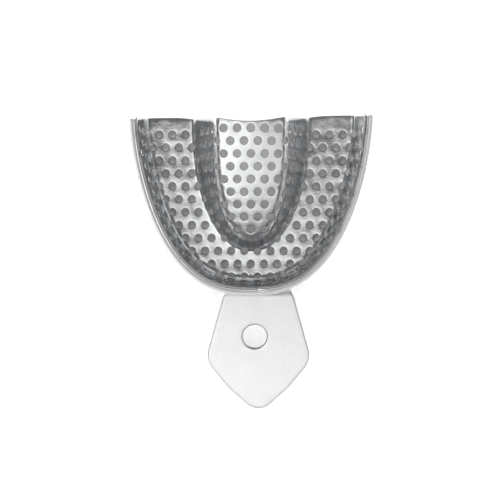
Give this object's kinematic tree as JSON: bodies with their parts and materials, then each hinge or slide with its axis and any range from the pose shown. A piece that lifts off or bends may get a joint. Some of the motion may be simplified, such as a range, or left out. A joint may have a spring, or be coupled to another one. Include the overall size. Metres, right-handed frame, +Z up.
{
  "type": "impression tray",
  "caption": "Perforated metal dental impression tray for the upper jaw: a U-shaped trough round a raised palate, with a wired rim and a flat kite-shaped handle with a hole.",
  "frame": {"origin": "middle of the tray's footprint, handle included, on the plane that the trough floor stands on", "axes": "+Z up out of the open trough, +Y towards the open back edge, the handle points towards -Y, +X across the jaw"},
  "size_m": [0.072, 0.0894, 0.016],
  "materials": {
    "polished_steel": "polished, lightly scratched in use",
    "rim_steel": "polished",
    "satin_steel": "satin, fine grain",
    "silver_solder": "smoothed solder"
  },
  "bodies": {
    "root": {"tray_pan": "polished_steel", "rim_wire": "rim_steel", "rim_solder_seam": "silver_solder", "handle_plate": "satin_steel", "handle_foot_solder": "silver_solder", "handle_top_solder": "silver_solder"}
  },
  "joints": []
}
